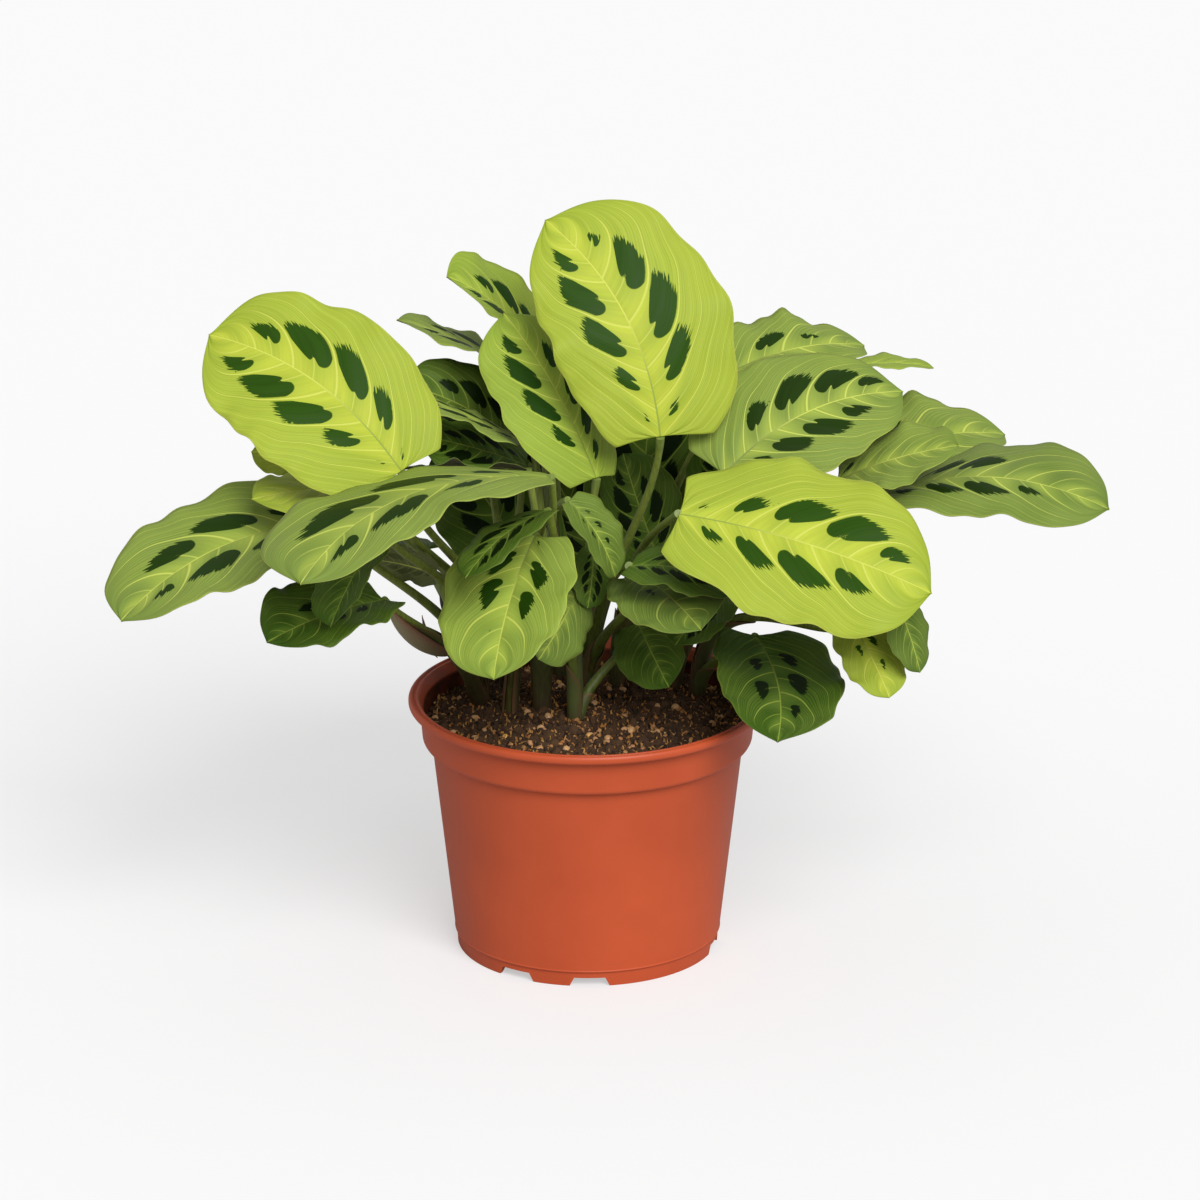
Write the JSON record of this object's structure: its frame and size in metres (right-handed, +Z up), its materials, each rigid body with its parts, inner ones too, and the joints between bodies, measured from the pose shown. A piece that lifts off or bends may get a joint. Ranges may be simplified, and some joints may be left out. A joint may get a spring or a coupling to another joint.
{
  "type": "potted prayer plant",
  "caption": "Potted prayer plant with broad waved leaves on thin stalks, rising from soil in a moulded plastic nursery pot.",
  "frame": {"origin": "on the pot's axis, in the plane that the pot stands on, at the middle of the pad under its floor", "axes": "+Z up along the pot's axis; -Y is the front, where the lime leaves look; +X is to the right seen from the front"},
  "size_m": [0.3275, 0.2288, 0.252],
  "materials": {
    "pot": "satin, moulded terracotta-coloured plastic",
    "soil": "matte, crumbly dark potting soil with bark",
    "stalk": "satin green and brown stalk",
    "leaf_lime": "satin lime leaf with dark green blotches",
    "leaf_green": "satin green leaf with dark green blotches",
    "leaf_grey_green": "satin grey-green leaf with dark green blotches",
    "leaf_dark_green": "satin dark green leaf"
  },
  "bodies": {
    "root": {"pot": "pot", "soil": "soil", "shoot_back": "stalk", "shoot_back_right": "stalk", "shoot_front": "stalk", "shoot_front_right": "stalk", "shoot_left_back": "stalk", "shoot_left_front": "stalk", "shoot_left_outer": "stalk", "shoot_middle": "stalk", "shoot_middle_right": "stalk", "shoot_right": "stalk", "shoot_right_outer": "stalk", "leaf_back_far_right": "leaf_grey_green", "leaf_back_left_thin": "leaf_grey_green", "leaf_back_left_top": "leaf_green", "leaf_back_low_left": "leaf_dark_green", "leaf_back_low_middle": "leaf_dark_green", "leaf_back_low_right": "leaf_dark_green", "leaf_back_right": "leaf_grey_green", "leaf_back_wide_left": "leaf_grey_green", "leaf_back_wide_middle": "leaf_green", "leaf_back_wide_right": "leaf_grey_green", "leaf_behind_front": "leaf_grey_green", "leaf_centre_narrow": "leaf_grey_green", "leaf_centre_small": "leaf_dark_green", "leaf_crown": "leaf_lime", "leaf_dark_centre": "leaf_dark_green", "leaf_dark_right": "leaf_dark_green", "leaf_far_left": "leaf_grey_green", "leaf_far_right": "leaf_grey_green", "leaf_front": "leaf_green", "leaf_front_roll": "leaf_dark_green", "leaf_left_dark_low": "leaf_dark_green", "leaf_left_dark_up": "leaf_dark_green", "leaf_left_drip": "leaf_dark_green", "leaf_left_high": "leaf_lime", "leaf_left_long": "leaf_grey_green", "leaf_left_strip": "leaf_grey_green", "leaf_left_tiny": "leaf_lime", "leaf_left_under": "leaf_grey_green", "leaf_left_wavy": "leaf_dark_green", "leaf_left_yellow": "leaf_lime", "leaf_low_centre": "leaf_dark_green", "leaf_low_left": "leaf_dark_green", "leaf_low_right": "leaf_dark_green", "leaf_low_right_grey": "leaf_grey_green", "leaf_low_right_lime": "leaf_lime", "leaf_mid_left_high": "leaf_green", "leaf_right_back": "leaf_grey_green", "leaf_right_behind": "leaf_dark_green", "leaf_right_dark": "leaf_dark_green", "leaf_right_fold": "leaf_grey_green", "leaf_right_front": "leaf_lime", "leaf_right_low_grey": "leaf_grey_green", "leaf_right_mid": "leaf_grey_green", "leaf_right_thin": "leaf_green", "leaf_inner_high": "leaf_dark_green", "leaf_inner_left": "leaf_dark_green", "leaf_inner_middle": "leaf_dark_green"}
  },
  "joints": []
}
